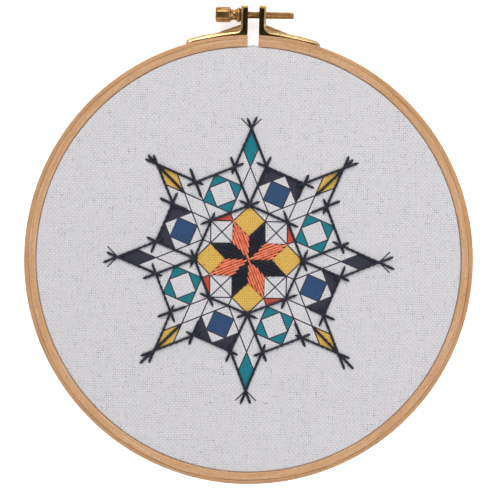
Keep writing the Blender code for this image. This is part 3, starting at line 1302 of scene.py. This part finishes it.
@dataclass
class FlossWork:
    """Straight stitches in floss, with the thread that travels between them.

    A stitch comes up out of its hole thin, spreads over the pinch, and lies as
    a loosely laid bundle of strands. Shares are of the bundle's full size.
    """

    name: str
    plan: HoopPlan
    strands: int
    strand_radius: float
    half_width: float
    half_height: float
    pinch: float
    sides: int = 5
    rings: int = 14
    lay: float = 9.0 * MM
    lay_chance: Pair = (0.8, 1.25)
    slack_chance: Pair = (0.9, 1.1)
    bow: float = 0.12 * MM
    pinched_width: float = 0.25
    pinched_height: float = 0.5
    pinched_strand: float = 0.7
    sink: float = 0.9
    hump: float = 1.1 * MM
    hump_lift: float = 2.4
    hole_share: float = 0.02
    thickness: float = 0.4 * MM
    seed: int = 5

    def __post_init__(self) -> None:
        """Makes the sweep and the seeded chance."""
        self.sweep = StrandSweep(self.sides, self.rings)
        self.chance = random.Random(self.seed)
        self.whole = bmesh.new()
        self.done: list[Stitch] = []

    def _lifts(self, stitch: Stitch) -> list[float]:
        """Finds where a new stitch crosses the older ones.

        Args:
            stitch: the new one.

        Returns:
            How far along it each crossing is, from 0 to 1.
        """
        found = []
        span = stitch.end - stitch.start
        for older in self.done:
            near = self.hole_share * (older.end - older.start)
            ends = (stitch.start, stitch.end, older.start + near, older.end - near)
            spot = intersect_line_line_2d(*ends)
            if spot is not None:
                found.append((spot - stitch.start).length / span.length)
        return found

    def stitch(self, stitch: Stitch, crossing: bool = True) -> None:
        """Lays one stitch on the face, over whatever it crosses.

        Args:
            stitch: from hole to hole, about the hoop's axis.
            crossing: whether it climbs over the stitches laid before it.
        """
        lifts = self._lifts(stitch) if crossing else []
        self._bundle(stitch, self.plan.cloth_front, 1.0, lifts)
        if crossing:
            self.done.append(stitch)

    def travel(self, stitch: Stitch) -> None:
        """Lays one length of thread on the cloth's back."""
        back = self.plan.cloth_front - self.thickness
        self._bundle(stitch, back, -1.0, [])

    def _bundle(
        self, stitch: Stitch, surface: float, face: float, lifts: Sequence[float]
    ) -> None:
        """Sweeps every strand of one stitch.

        Args:
            stitch: from hole to hole.
            surface: the height of the cloth's face or back.
            face: 1 on the face, -1 on the back.
            lifts: where along it the stitch climbs over another, from 0 to 1.
        """
        span = stitch.end - stitch.start
        length = span.length
        along = span / length
        across = Vector((-along.y, along.x, 0.0))
        bow = self.chance.uniform(-self.bow, self.bow)
        phase = self.chance.uniform(0.0, 2 * math.pi)
        lay = self.lay * self.chance.uniform(*self.lay_chance)
        for strand in range(self.strands):
            path, radii = [], []
            slack = self.chance.uniform(*self.slack_chance)
            for at in range(self.rings + 1):
                even = at / self.rings
                share = (0.5 - 0.5 * math.cos(math.pi * even) + even) / 2
                run = share * length
                full = min(1.0, min(run, length - run) / self.pinch)
                ease = full * full * (3 - 2 * full)
                turn = phase + 2 * math.pi * (strand / self.strands + run / lay)
                spread = self.pinched_width + (1 - self.pinched_width) * ease
                wide = self.half_width * slack * spread
                tall = self.half_height
                tall *= self.pinched_height + (1 - self.pinched_height) * ease
                humps = [math.exp(-(((share - lift) * length / self.hump) ** 2)) for lift in lifts]
                height = (tall + self.strand_radius) * ((1 + self.sink) * ease - self.sink)
                height += max(humps, default=0.0) * self.hump_lift * self.half_height
                height += tall * math.sin(turn)
                spot = stitch.start + along * run
                swing = wide * math.cos(turn) + bow * math.sin(math.pi * share)
                level = Vector((*spot, surface + face * height))
                path.append(level + across * swing + self.plan.centre)
                thin = self.pinched_strand + (1 - self.pinched_strand) * ease
                radii.append(self.strand_radius * thin)
            self.sweep.add(self.whole, path, radii, across)

    def finish(self, material: Material) -> Object:
        """Makes the piece from all the strands laid so far."""
        return add_piece(self.name, self.whole, [material], HOOP_BODY, "cloth", 70.0)


# -------------------------------------------------------------------- hardware


@dataclass
class PressedBracket:
    """One brass ear: a channel bent to an L, with a rib across its corner."""

    name: str
    node: str
    side: int
    plan: HoopPlan
    sheet: float = 0.7 * MM
    base_height: float = 2.4 * MM
    ear_thickness: float = 3.35 * MM
    corner_radius: float = 1.7 * MM
    heel_radius: float = 1.0 * MM
    bend: float = 1.5 * MM
    bend_steps: int = 6
    tip_height: float = 2.2 * MM
    top_x: float = 30.0 * MM
    seat_gap: float = 0.06 * MM
    flare: float = 0.8 * MM
    flare_run: float = 4.0 * MM
    flange_facing: float = 0.93
    cap_height: float = 2.2 * MM
    cap_inset: float = 0.1 * MM
    cap_rounding: float = 0.66 * MM
    rib_half_width: float = 2.3 * MM
    rib_foot: float = 18.5 * MM
    rib_height: float = 5.3 * MM
    rib_sunk: float = 0.2 * MM
    rib_buried: float = 0.35 * MM
    rib_crest: float = 0.25 * MM
    hole_radius: float = 1.85 * MM
    hole_sides: int = 24
    steps: int = 5
    long_steps: int = 12

    def __post_init__(self) -> None:
        """Reads the bracket's reach from its CAD node."""
        low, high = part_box(self.node)
        self.face_x, self.tip_x = sorted((abs(low.x), abs(high.x)))
        self.out_x = self.face_x + self.ear_thickness
        self.top_y = high.y - self.plan.centre.y
        self.low_z, self.high_z = low.z, high.z
        self.mid_z = (low.z + high.z) / 2
        self.back = self.plan.radius + self.base_height

    def _arc(self, middle: Vector, radius: float, start: float, end: float) -> list[Vector]:
        """Points along an arc from one angle in degrees to another."""
        angles = [start + (end - start) * at / self.steps for at in range(self.steps + 1)]
        return [middle + polar(radius, math.radians(angle)) for angle in angles]

    def _side_view(self) -> tuple[list[Vector], int]:
        """Draws the L from the front, as on the +X side of the split.

        Returns:
            The outline from the ear's top, down its outer side and along the
            base to its tip, then back under it; and the count of the points
            that the sheet covers, the rest being its open sides.
        """
        seat, back = self.plan.radius + self.seat_gap, self.back
        bend_x = self.out_x + self.corner_radius
        bend_y = math.sqrt(back**2 - bend_x**2) + self.corner_radius
        heel_x = self.face_x + self.heel_radius
        heel_y = math.sqrt(seat**2 - heel_x**2) + self.heel_radius
        points = [Vector((self.face_x, self.top_y)), Vector((self.out_x, self.top_y))]
        points += self._arc(Vector((bend_x, bend_y)), self.corner_radius, 180.0, 270.0)
        start, end = math.acos(bend_x / back), math.acos(self.top_x / back)
        thinning = self.tip_height - self.base_height
        for at in range(1, self.long_steps + 1):
            share = at / self.long_steps
            points.append(polar(back + thinning * share, start + (end - start) * share))
        for at in range(1, self.steps + 1):
            turned = math.pi / 2 * at / self.steps
            along = self.top_x + (self.tip_x - self.top_x) * math.sin(turned)
            reach = seat + (back + thinning - seat) * math.cos(turned)
            points.append(polar(reach, math.acos(along / reach)))
        covered = len(points)
        tip, heel = math.acos(self.tip_x / seat), math.acos(heel_x / seat)
        step = (heel - tip) / self.long_steps
        points += [polar(seat, tip + step * at) for at in range(1, self.long_steps)]
        points += self._arc(Vector((heel_x, heel_y)), self.heel_radius, 270.0, 180.0)
        return points, covered

    def build(self, finishes: Sequence[Material]) -> Object:
        """Presses the sheet, and adds its rib and its rolled top.

        Args:
            finishes: for the polished flanges, the drawn web and the rolled top.

        Returns:
            The bracket.
        """
        shape = self._channel()
        self._rib(shape)
        self._cap(shape)
        shape.normal_update()
        for face in shape.faces:
            if face.material_index == 0 and abs(face.normal.z) < self.flange_facing:
                face.material_index = 1
        if self.side < 0:
            bmesh.ops.scale(shape, vec=(-1.0, 1.0, 1.0), verts=shape.verts)
            bmesh.ops.reverse_faces(shape, faces=shape.faces)
        bmesh.ops.translate(shape, vec=self.plan.centre, verts=shape.verts)
        return add_piece(
            self.name, shape, finishes, HOOP_BODY, "brackets", 35.0, stands_for=[self.node]
        )

    def _lies_on(self, face: BMFace, spots: Sequence[Vector]) -> bool:
        """Whether each corner of a face stands on one of these flat points."""
        corners = [vert.co.xy for vert in face.verts]
        return all(any((corner - spot).length < MERGE for spot in spots) for corner in corners)

    def _channel(self) -> BMesh:
        """Bends the channel, open towards the split and the hoop.

        Returns:
            The channel, with the sheet's own thickness.
        """
        outline, covered = self._side_view()
        shape = bmesh.new()
        corners = [shape.verts.new((*spot, self.low_z)) for spot in outline]
        front = shape.faces.new(corners)
        made = bmesh.ops.extrude_face_region(shape, geom=[front])["geom"]
        raised = [item for item in made if isinstance(item, BMVert)]
        bmesh.ops.translate(shape, vec=(0.0, 0.0, self.high_z - self.low_z), verts=raised)
        bmesh.ops.recalc_face_normals(shape, faces=shape.faces)
        upright = [face for face in shape.faces if abs(face.normal.z) < FACING]
        web = [face for face in upright if self._lies_on(face, outline[:covered])]
        flanges = set(shape.faces) - set(upright)
        bends = {edge for face in web for edge in face.edges if flanges & set(edge.link_faces)}
        open_side = [face for face in upright if face not in web]
        bmesh.ops.delete(shape, geom=open_side, context="FACES_ONLY")
        bmesh.ops.bevel(
            shape,
            geom=list(bends),
            offset=self.bend,
            segments=self.bend_steps,
            profile=0.5,
            affect="EDGES",
            material=-1,
            clamp_overlap=True,
        )
        bmesh.ops.remove_doubles(shape, verts=shape.verts, dist=10 * MERGE)
        self._bore(shape)
        self._flare(shape)
        bmesh.ops.recalc_face_normals(shape, faces=shape.faces)
        bmesh.ops.solidify(shape, geom=shape.faces[:], thickness=self.sheet)
        return shape

    def _bore(self, shape: BMesh) -> None:
        """Opens the ear's web for the screw.

        Args:
            shape: the channel, before the sheet has its thickness.
        """
        low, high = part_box("screw")
        axis = (low + high) / 2 - self.plan.centre
        facing_out = (face for face in shape.faces if abs(face.normal.x) > FACING)
        ear = max(facing_out, key=lambda face: face.calc_area())
        frame_edges = list(ear.edges)
        bmesh.ops.delete(shape, geom=[ear], context="FACES_ONLY")
        rim = []
        for at in range(self.hole_sides):
            spot = polar(self.hole_radius, 2 * math.pi * at / self.hole_sides)
            rim.append(shape.verts.new((self.out_x, axis.y + spot.x, axis.z + spot.y)))
        ring = [shape.edges.new((rim[at - 1], rim[at])) for at in range(self.hole_sides)]
        bmesh.ops.bridge_loops(shape, edges=frame_edges + ring)

    def _flare(self, shape: BMesh) -> None:
        """Leans the base's flanges in towards the back, as the press leaves them.

        Args:
            shape: the channel, before the sheet has its thickness.
        """
        for vert in shape.verts:
            rise = vert.co.xy.length - self.plan.radius
            share = min(1.0, max(0.0, rise / self.base_height))
            share *= min(1.0, max(0.0, (vert.co.x - self.out_x) / self.flare_run))
            lean = self.flare * share
            if vert.co.z > self.mid_z:
                vert.co.z = max(self.mid_z, vert.co.z - lean)
            else:
                vert.co.z = min(self.mid_z, vert.co.z + lean)

    def _rib(self, shape: BMesh) -> None:
        """Presses a ridge up across the inner corner, from the ear to the base.

        Args:
            shape: the bracket so far.
        """
        foot = polar(self.back - self.rib_sunk, math.acos(self.rib_foot / self.back))
        root_x = self.out_x - self.rib_buried
        root_y = self.back - self.rib_buried
        ridge = bmesh.new()
        corners = (
            (*foot, self.mid_z),
            (root_x, self.plan.radius + self.rib_height, self.mid_z),
            (root_x, root_y, self.mid_z - self.rib_half_width),
            (root_x, root_y, self.mid_z + self.rib_half_width),
        )
        verts = [ridge.verts.new(corner) for corner in corners]
        for skipped in verts:
            ridge.faces.new([vert for vert in verts if vert is not skipped])
        bmesh.ops.recalc_face_normals(ridge, faces=ridge.faces)
        crest = [edge for edge in ridge.edges if set(edge.verts) == set(verts[:2])]
        ease_edges(ridge, crest, self.rib_crest, 4)
        join(shape, ridge)

    def _cap(self, shape: BMesh) -> None:
        """Rolls the ear's top over towards the split.

        Args:
            shape: the bracket so far.
        """
        low = Vector((self.face_x - self.cap_inset, self.top_y - self.cap_height, self.low_z))
        high = Vector((self.out_x - self.cap_inset, self.top_y, self.high_z))
        roll = bmesh.new()
        bmesh.ops.create_cube(roll, size=1.0)
        bmesh.ops.scale(roll, vec=high - low, verts=roll.verts)
        bmesh.ops.translate(roll, vec=(low + high) / 2, verts=roll.verts)
        ease_edges(roll, roll.edges[:], self.cap_rounding, 4)
        for face in roll.faces:
            face.material_index = 2
        join(shape, roll)


@dataclass
class TensionScrew:
    """The turned brass screw: hexagonal head, waist, collar and threaded shaft.

    The turned part's outline gives radii and distances past the head's inner
    end in millimetres: the neck that rises out of the head, the waist and the
    collar.
    """

    plan: HoopPlan
    across_flats: float = 6.8 * MM
    head_length: float = 7.2 * MM
    head_turn: float = math.radians(8.4)
    head_chamfer: float = 0.85 * MM
    slot_width: float = 0.5 * MM
    slot_depth: float = 2.6 * MM
    slot_turn: float = math.radians(40.0)
    neck_mm: tuple[Pair, ...] = ((0.0, -2.0), (2.45, -2.0), (2.95, -0.05), (2.75, 0.4))
    waist_mm: tuple[Pair, ...] = ((2.45, 1.0), (2.45, 1.7), (2.75, 2.4))
    collar_mm: tuple[Pair, ...] = (
        (3.35, 3.25), (3.6, 3.55), (3.6, 3.85), (3.2, 4.35), (2.8, 4.7)
    )
    shaft_radius: float = 1.7 * MM
    shaft_relief: float = 0.02 * MM
    plain_length: float = 0.7 * MM
    thread_pitch: float = 0.6 * MM
    thread_depth: float = 0.13 * MM
    end_share: float = 0.75
    end_steps: int = 6
    sides: int = 48

    def __post_init__(self) -> None:
        """Reads the screw's ends and axis from its CAD node."""
        low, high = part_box("screw")
        self.length = high.x - low.x
        self.start = Vector((low.x, (low.y + high.y) / 2, (low.z + high.z) / 2))

    def _turned(self) -> BMesh:
        """Spins the waist, the collar and the shaft about +Z.

        Returns:
            The turned part, from the head's outer end at z 0.
        """
        outline = self.neck_mm + self.waist_mm + self.collar_mm
        profile = [(reach * MM, self.head_length + along * MM) for reach, along in outline]
        shoulder = profile[-1][1]
        thread_at = shoulder + self.plain_length
        plain = self.shaft_radius - self.shaft_relief
        profile += [(plain, shoulder), (plain, thread_at)]
        end_at = self.length - self.shaft_radius * self.end_share
        profile += self._thread_side(thread_at, end_at)
        for at in range(1, self.end_steps + 1):
            turned = math.pi / 2 * at / self.end_steps
            share = 1 - self.end_share * (1 - math.cos(turned))
            along = end_at + (self.length - end_at) * math.sin(turned)
            profile.append((self.shaft_radius * share, along))
        profile.append((0.0, self.length))
        shape = bmesh.new()
        points = [shape.verts.new((reach, 0.0, along)) for reach, along in profile]
        edges = [shape.edges.new(pair) for pair in zip(points, points[1:])]
        spin_section(shape, points + edges, 2 * math.pi, self.sides)
        bmesh.ops.remove_doubles(shape, verts=shape.verts, dist=MERGE)
        self._lead(shape, thread_at, end_at)
        bmesh.ops.recalc_face_normals(shape, faces=shape.faces)
        return shape

    def _thread_side(self, start: float, end: float) -> list[Pair]:
        """Draws one side of the shaft's thread, four points to a turn.

        Args:
            start: where the thread starts.
            end: where it ends.

        Returns:
            The points, as radii and distances.
        """
        turns = round((end - start) / self.thread_pitch)
        step = (end - start) / (4 * turns)
        depths = (0.5, 1.0, 0.5, 0.0)
        return [
            (self.shaft_radius - self.thread_depth * depths[at % 4], start + step * at)
            for at in range(1, 4 * turns)
        ]

    def _lead(self, shape: BMesh, start: float, end: float) -> None:
        """Slides the grooves round into a helix, one pitch in each turn.

        Args:
            shape: the turned part.
            start: where the thread starts.
            end: where it ends.
        """
        turns = round((end - start) / self.thread_pitch)
        pitch = (end - start) / turns
        for vert in shape.verts:
            inside = start + pitch < vert.co.z < end - pitch
            if inside and vert.co.xy.length > self.shaft_radius / 2:
                angle = math.atan2(vert.co.y, vert.co.x)
                vert.co.z += pitch * angle / (2 * math.pi)

    def _head(self) -> BMesh:
        """Cuts the hexagonal head, eases its edges and saws its slot.

        Returns:
            The head, its outer end at z 0.
        """
        shape = bmesh.new()
        reach = self.across_flats / 2 / math.cos(math.pi / 6)
        length = self.head_length
        bmesh.ops.create_cone(
            shape, cap_ends=True, segments=6, radius1=reach, radius2=reach, depth=length
        )
        turn = Matrix.Rotation(self.head_turn, 3, "Z")
        bmesh.ops.rotate(shape, matrix=turn, verts=shape.verts)
        bmesh.ops.translate(shape, vec=(0.0, 0.0, length / 2), verts=shape.verts)
        ease_edges(shape, shape.edges[:], self.head_chamfer, 4)
        self._slot(shape)
        return shape

    def _slot(self, shape: BMesh) -> None:
        """Saws the screwdriver's slot across the head's end.

        Args:
            shape: the head.
        """
        facing = Vector((*polar(1.0, self.slot_turn), 0.0))
        half = self.slot_width / 2
        cuts = (
            (facing * half, facing),
            (facing * -half, facing),
            (Vector((0.0, 0.0, self.slot_depth)), Vector((0.0, 0.0, 1.0))),
        )
        for point, normal in cuts:
            everything = shape.verts[:] + shape.edges[:] + shape.faces[:]
            bmesh.ops.bisect_plane(
                shape, geom=everything, dist=MERGE, plane_co=point, plane_no=normal
            )
        sawn = []
        for face in shape.faces:
            middle = face.calc_center_median()
            if abs(middle.dot(facing)) < half and middle.z < self.slot_depth:
                sawn.append(face)
        bmesh.ops.delete(shape, geom=sawn, context="FACES_ONLY")
        loose = [edge for edge in shape.edges if edge.is_wire]
        bmesh.ops.delete(shape, geom=loose, context="EDGES")
        rim = {vert for edge in shape.edges if edge.is_boundary for vert in edge.verts}
        deep = [vert for vert in rim if vert.co.z > self.slot_depth - 10 * MERGE]
        for side in (-1, 1):
            wall = [vert for vert in rim if side * vert.co.dot(facing) > 0]
            bmesh.ops.contextual_create(shape, geom=wall)
        bmesh.ops.contextual_create(shape, geom=deep)
        bmesh.ops.recalc_face_normals(shape, faces=shape.faces)

    def build(self, finish: Material) -> Object:
        """Joins the head and the turned part, and lays them along +X.

        Args:
            finish: the turned brass.

        Returns:
            The screw.
        """
        shape = self._turned()
        join(shape, self._head())
        lay = Matrix.Translation(self.start) @ Matrix.Rotation(math.pi / 2, 4, "Y")
        bmesh.ops.transform(shape, matrix=lay, verts=shape.verts)
        return add_piece(
            "Tension_screw", shape, [finish], SCREW_BODY, "screw", 32.0, stands_for=["screw"]
        )


# ---------------------------------------------------------------------- studio


@dataclass(frozen=True)
class SoftBox:
    """One square soft box that looks at the hoop."""

    name: str
    place: Triple
    power: float
    size: float = 0.9

    def hang(self) -> None:
        """Places the lamp."""
        lamp = bpy.data.lights.new(self.name, "AREA")
        lamp.shape = "SQUARE"
        lamp.size = self.size
        lamp.energy = self.power
        holder = bpy.data.objects.new(self.name, lamp)
        holder.location = self.place
        holder.rotation_euler = (-Vector(self.place)).to_track_quat("-Z", "Y").to_euler()
        bpy.context.scene.collection.objects.link(holder)


@dataclass
class Studio:
    """A lit white table, soft boxes on three sides and a camera straight above.

    The camera takes in the frame's width of the table, about the aim.
    """

    plan: HoopPlan
    boxes: tuple[SoftBox, ...] = (
        SoftBox("Key", (-0.2, 1.25, 1.0), 15.4),
        SoftBox("Fill", (0.9, -0.15, 0.95), 5.2),
        SoftBox("Front", (-0.2, -0.95, 0.95), 4.2),
    )
    table: float = 3.0
    wall: str = "#F4F4F6"
    ceiling: str = "#1E1712"
    wall_to_ceiling: Pair = (0.5, 0.92)
    room_light: float = 0.64
    frame_width: float = 0.23375
    camera_height: float = 1.7
    sensor: float = 36.0
    roll: float = math.radians(1.2)
    aim: Triple = (0.00070, 0.00447, 0.0)

    def build(self) -> None:
        """Places the floor, the lights and the camera."""
        self._floor()
        for box in self.boxes:
            box.hang()
        self._world()
        self._camera()

    def _floor(self) -> None:
        """Lays the white table top."""
        shape = bmesh.new()
        bmesh.ops.create_grid(shape, x_segments=1, y_segments=1, size=self.table)
        mesh = bpy.data.meshes.new("Floor")
        shape.to_mesh(mesh)
        shape.free()
        mesh.materials.append(LitTableFinish().make())
        floor = bpy.data.objects.new("Floor", mesh)
        bpy.context.scene.collection.objects.link(floor)

    def _world(self) -> None:
        """Makes a room that is pale at eye level and dim overhead."""
        world = bpy.data.worlds.new("Room")
        world.use_nodes = True
        add = partial(add_node, world.node_tree)
        _, _, height = add("SeparateXYZ", {0: add("TexCoord", out="Generated")}).node.outputs
        low, high = self.wall_to_ceiling
        dim = add("MapRange", {0: height, 1: low, 2: high})
        shades = {0: dim, 6: linear(self.wall), 7: linear(self.ceiling)}
        colour = add("Mix", shades, 2, data_type="RGBA")
        backdrop = world.node_tree.nodes["Background"]
        feed(backdrop, {"Color": colour, "Strength": self.room_light})
        bpy.context.scene.world = world

    def _camera(self) -> None:
        """Sets the camera, a little turned, with the hoop just below the middle."""
        camera = bpy.data.cameras.new("Camera")
        camera.sensor_width = self.sensor
        camera.lens = self.sensor * self.camera_height / self.frame_width
        camera.clip_start = 0.01
        camera.clip_end = 20.0
        holder = bpy.data.objects.new("Camera", camera)
        turn = Matrix.Rotation(self.roll, 4, "Z")
        height = Vector((0.0, 0.0, self.plan.depth + self.camera_height))
        aim = self.plan.centre + turn @ Vector(self.aim) + height
        holder.matrix_world = Matrix.Translation(aim) @ turn
        bpy.context.scene.collection.objects.link(holder)
        bpy.context.scene.camera = holder


# ------------------------------------------------------------------------ main

INKS = {
    Ink.OUTLINE: "#2A2530",
    Ink.MUSTARD: "#E0AF45",
    Ink.BLUE: "#1D3A68",
    Ink.TEAL: "#06707E",
    Ink.BLACK: "#232331",
    Ink.RED: "#C7402B",
    Ink.CORAL: "#B9482F",
}
BARE_CLOTH = "#DBD9DC"
WHITE, BLACK = "#FFFFFF", "#000000"
INK_FADE = 0.12  # how far printing on rough cotton pales each ink
# Painted shade between the threads, as shares of black.
BARE_GAP_SHADE, INK_GAP_SHADE, REVERSE_GAP_SHADE = 0.12, 0.2, 0.1  # how dark it is between the threads
# Painted shade seen through the pinholes, as a share of black.
PINHOLE_SHADE = 0.58
SHOW_THROUGH = 0.22  # how much of each ink shows on the reverse
SEAM = 0.15 * MM  # the gap between the cloth and the outer hoop
SPLIT_WIDTH = 5.2 * MM


def cloth_finishes() -> list[Material]:
    """Makes the cloth's face in every ink, then its reverse, where ink shows faintly.

    Returns:
        The materials, in Ink's order, the reverse's after the face's.
    """
    face, reverse = [], []
    for ink in Ink:
        bare = ink is Ink.BARE
        name = "cotton_evenweave" if bare else f"cotton_print_{ink.name.lower()}"
        crown = BARE_CLOTH if bare else blend_hex(INKS[ink], WHITE, INK_FADE)
        gap = blend_hex(crown, BLACK, BARE_GAP_SHADE if bare else INK_GAP_SHADE)
        face.append(EvenweaveFinish(name, crown, gap, blend_hex(crown, BLACK, PINHOLE_SHADE)).make())
        faint = blend_hex(BARE_CLOTH, crown, SHOW_THROUGH)
        gap, hole = (blend_hex(faint, BLACK, share) for share in (REVERSE_GAP_SHADE, PINHOLE_SHADE))
        reverse.append(EvenweaveFinish(name + "_reverse", faint, gap, hole).make())
    return face + reverse


def build_stitches(plan: HoopPlan, ornament: Medallion) -> None:
    """Works the satin first, then the thick outline stitches over it.

    Args:
        plan: where the cloth lies.
        ornament: the stitches.
    """
    colours = {
        "coral": FlossFinish("floss_coral", "#FF9B78", "#DE6238"),
        "navy": FlossFinish("floss_navy", "#1E2334", "#0B0D15"),
    }
    for colour, petals in ornament.satin.items():
        work = FlossWork(
            f"Satin_{colour}",
            plan,
            strands=3,
            strand_radius=0.27 * MM,
            half_width=0.24 * MM,
            half_height=0.2 * MM,
            pinch=0.7 * MM,
            rings=10,
            seed=len(colour),
        )
        for threads in petals:
            for at, thread in enumerate(threads):
                work.stitch(thread, crossing=False)
                if at + 1 < len(threads):
                    work.travel(Stitch(thread.end, threads[at + 1].start))
        work.finish(colours[colour].make())
    work = FlossWork(
        "Outline_stitches",
        plan,
        strands=6,
        strand_radius=0.26 * MM,
        half_width=0.42 * MM,
        half_height=0.24 * MM,
        pinch=0.9 * MM,
    )
    for at, stitch in enumerate(ornament.outlines):
        work.stitch(stitch)
        if at:
            work.travel(Stitch(ornament.outlines[at - 1].end, stitch.start))
    work.finish(FlossFinish("floss_outline", "#20263B", "#10121C").make())


def build_hoops(plan: HoopPlan, cloth: StretchedCloth) -> None:
    """Bends the split outer hoop and the closed inner one.

    Args:
        plan: where they lie.
        cloth: the cloth between them.
    """
    strip = plan.radius - plan.cloth_outside - SEAM
    bore = plan.radius - strip
    outer = BentHoop(
        "Outer_hoop",
        "outer_hoop",
        "beech",
        plan,
        inside=bore,
        outside=plan.radius,
        top=plan.depth,
        split_width=SPLIT_WIDTH,
    )
    outer.build(BeechFinish("beech_outer", plan.centre, bore, strip))
    outside = plan.cloth_outside - cloth.thickness
    bore = outside - strip
    inner = BentHoop(
        "Inner_hoop",
        "inner_hoop",
        "inner_beech",
        plan,
        inside=bore,
        outside=outside,
        top=plan.cloth_front - cloth.thickness,
        rounding=0.9 * MM,
    )
    inner.build(BeechFinish("beech_inner", plan.centre, bore, strip))


def build_hardware(plan: HoopPlan) -> None:
    """Fits the two brackets and the screw.

    Args:
        plan: where they sit.
    """
    polished = BrassFinish(
        "brass_polished", "#DDBB88", "#A07A48", (0.13, 0.2), 2.4, (0.5, 0.5, 1.5)
    )
    drawn = BrassFinish("brass_drawn", "#DCC292", "#8F6B3C", (0.3, 0.44), 1.1, (0.6, 0.3, 0.8))
    rolled = BrassFinish("brass_rolled", "#DDB97F", "#AF8850", (0.42, 0.58), 1.6, (0.5, 0.5, 0.8))
    turned = BrassFinish("brass_turned", "#BC9160", "#876239", (0.28, 0.42), 2.4, (0.12, 2.0, 2.0))
    plated = [finish.make() for finish in (polished, drawn, rolled)]
    PressedBracket("Bracket_left", "bracket_left", -1, plan).build(plated)
    PressedBracket("Bracket_right", "bracket_right", 1, plan).build(plated)
    TensionScrew(plan).build(turned.make())


def main() -> None:
    """Builds every piece in order, then the studio."""
    logging.basicConfig(level=logging.INFO, format="%(name)s %(message)s")
    plan = HoopPlan()
    ornament = Medallion()
    cloth = StretchedCloth(plan, ornament)
    build_hoops(plan, cloth)
    cloth.build(cloth_finishes())
    build_stitches(plan, ornament)
    build_hardware(plan)
    Studio(plan).build()
    bpy.context.scene.view_settings.view_transform = "Standard"


if __name__ == "__main__":
    main()
